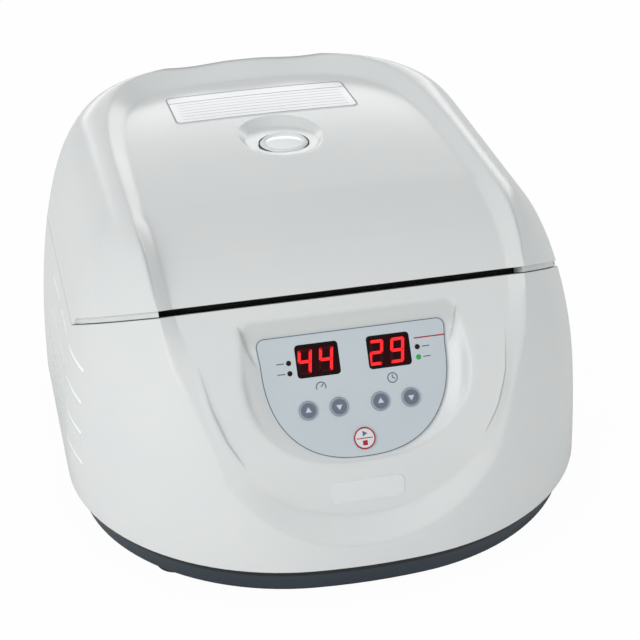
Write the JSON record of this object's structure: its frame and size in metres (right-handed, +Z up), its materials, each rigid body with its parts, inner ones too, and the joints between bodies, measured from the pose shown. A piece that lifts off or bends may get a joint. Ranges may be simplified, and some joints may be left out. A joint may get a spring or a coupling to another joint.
{
  "type": "clinical centrifuge",
  "caption": "Bench-top clinical centrifuge with a domed housing, a hinged lid with a window, an angled tube rotor, a chamber and a sloped control panel.",
  "frame": {"origin": "on the bench under the middle of the machine", "axes": "+Z up, the front with the control panel faces -Y, +X is the operator's right"},
  "size_m": [0.339, 0.412, 0.2035],
  "materials": {
    "white_shell": "satin moulded housing",
    "dark_base": "dark slate base",
    "rubber_black": "soft black rubber",
    "steel": "plain steel",
    "bowl_steel": "drawn stainless bowl",
    "motor_paint": "black painted metal",
    "bracket_steel": "painted sheet",
    "panel_sheet": "pale blue-grey printed sheet",
    "display_window": "dark red display window",
    "lamp_lens": "dark lamp lens",
    "board_green": "circuit board",
    "inner_plastic": "dark moulded plastic",
    "bare_plate": "bare label stock",
    "black_plastic": "black moulded plastic",
    "black_gloss": "glossy black rocker",
    "hinge_plastic": "white hinge moulding",
    "liner_plastic": "pale grey inner liner",
    "clear_lens": "clear window lens",
    "ring_plastic": "smooth window ring",
    "rotor_metal": "anodised rotor",
    "sleeve_metal": "bright tube sleeves",
    "key_slate": "slate blue key",
    "key_white": "white key with a red ring"
  },
  "bodies": {
    "base": {"body_shell": "white_shell", "base_pan": "dark_base", "rubber_feet": "rubber_black", "foot_screws": "steel", "chamber_bowl": "bowl_steel", "bowl_gasket": "rubber_black", "motor": "motor_paint", "motor_plate": "bracket_steel", "motor_dampers": "rubber_black", "motor_screws": "steel", "control_panel": "panel_sheet", "speed_display": "display_window", "time_display": "display_window", "indicator_lamps": "lamp_lens", "control_board": "board_green", "board_posts": "inner_plastic", "name_plate": "bare_plate", "latch_housing": "inner_plastic", "latch_coil": "motor_paint", "lid_switch": "black_plastic", "rear_plate": "bracket_steel", "power_inlet": "black_plastic", "fuse_drawer": "black_plastic", "switch_frame": "black_plastic", "power_supply": "motor_paint", "hinge_blocks": "hinge_plastic", "hinge_pins": "steel"},
    "lid": {"lid_shell": "white_shell", "lid_liner": "liner_plastic", "liner_screws": "steel", "window_lens": "clear_lens", "window_ring": "ring_plastic", "lid_label": "bare_plate", "latch_striker": "steel", "lid_knuckles": "hinge_plastic"},
    "rotor": {"motor_shaft": "steel", "rotor_head": "rotor_metal", "rotor_nut": "rotor_metal", "tube_sleeves": "sleeve_metal", "sleeve_cushions": "rubber_black"},
    "speed_up_key": {"speed_up_key": "key_slate"},
    "speed_down_key": {"speed_down_key": "key_slate"},
    "time_up_key": {"time_up_key": "key_slate"},
    "time_down_key": {"time_down_key": "key_slate"},
    "run_stop_key": {"run_stop_key": "key_white"},
    "rocker": {"power_rocker": "black_gloss"},
    "hook": {"latch_hook": "steel"}
  },
  "joints": [
    {"name": "lid_hinge", "type": "hinge", "parent": "base", "child": "lid", "pos_m": [0, 0.2005, 0.134], "axis": [-1, 0, 0], "range_deg": [0, 80]},
    {"name": "rotor_spin", "type": "hinge", "parent": "base", "child": "rotor", "pos_m": [0, 0.038, 0.09], "axis": [0, 0, 1], "continuous": true},
    {"name": "speed_up_key_press", "type": "slide", "parent": "base", "child": "speed_up_key", "axis": [0, 0.8572, -0.515], "range_m": [0, 0.0008], "stiffness_N_per_m": 600, "springref_m": -0.0004},
    {"name": "speed_down_key_press", "type": "slide", "parent": "base", "child": "speed_down_key", "axis": [0, 0.8572, -0.515], "range_m": [0, 0.0008], "stiffness_N_per_m": 600, "springref_m": -0.0004},
    {"name": "time_up_key_press", "type": "slide", "parent": "base", "child": "time_up_key", "axis": [0, 0.8572, -0.515], "range_m": [0, 0.0008], "stiffness_N_per_m": 600, "springref_m": -0.0004},
    {"name": "time_down_key_press", "type": "slide", "parent": "base", "child": "time_down_key", "axis": [0, 0.8572, -0.515], "range_m": [0, 0.0008], "stiffness_N_per_m": 600, "springref_m": -0.0004},
    {"name": "run_stop_key_press", "type": "slide", "parent": "base", "child": "run_stop_key", "axis": [0, 0.8572, -0.515], "range_m": [0, 0.0008], "stiffness_N_per_m": 600, "springref_m": -0.0004},
    {"name": "power_rocker_throw", "type": "hinge", "parent": "base", "child": "rocker", "pos_m": [0.033, 0.1858, 0.055], "axis": [-1, 0, 0], "range_deg": [0, 16]},
    {"name": "latch_hook_release", "type": "hinge", "parent": "base", "child": "hook", "pos_m": [0, -0.106, 0.121], "axis": [-1, 0, 0], "range_deg": [0, 20], "stiffness_Nm_per_rad": 0.05, "springref_deg": -5.73}
  ]
}
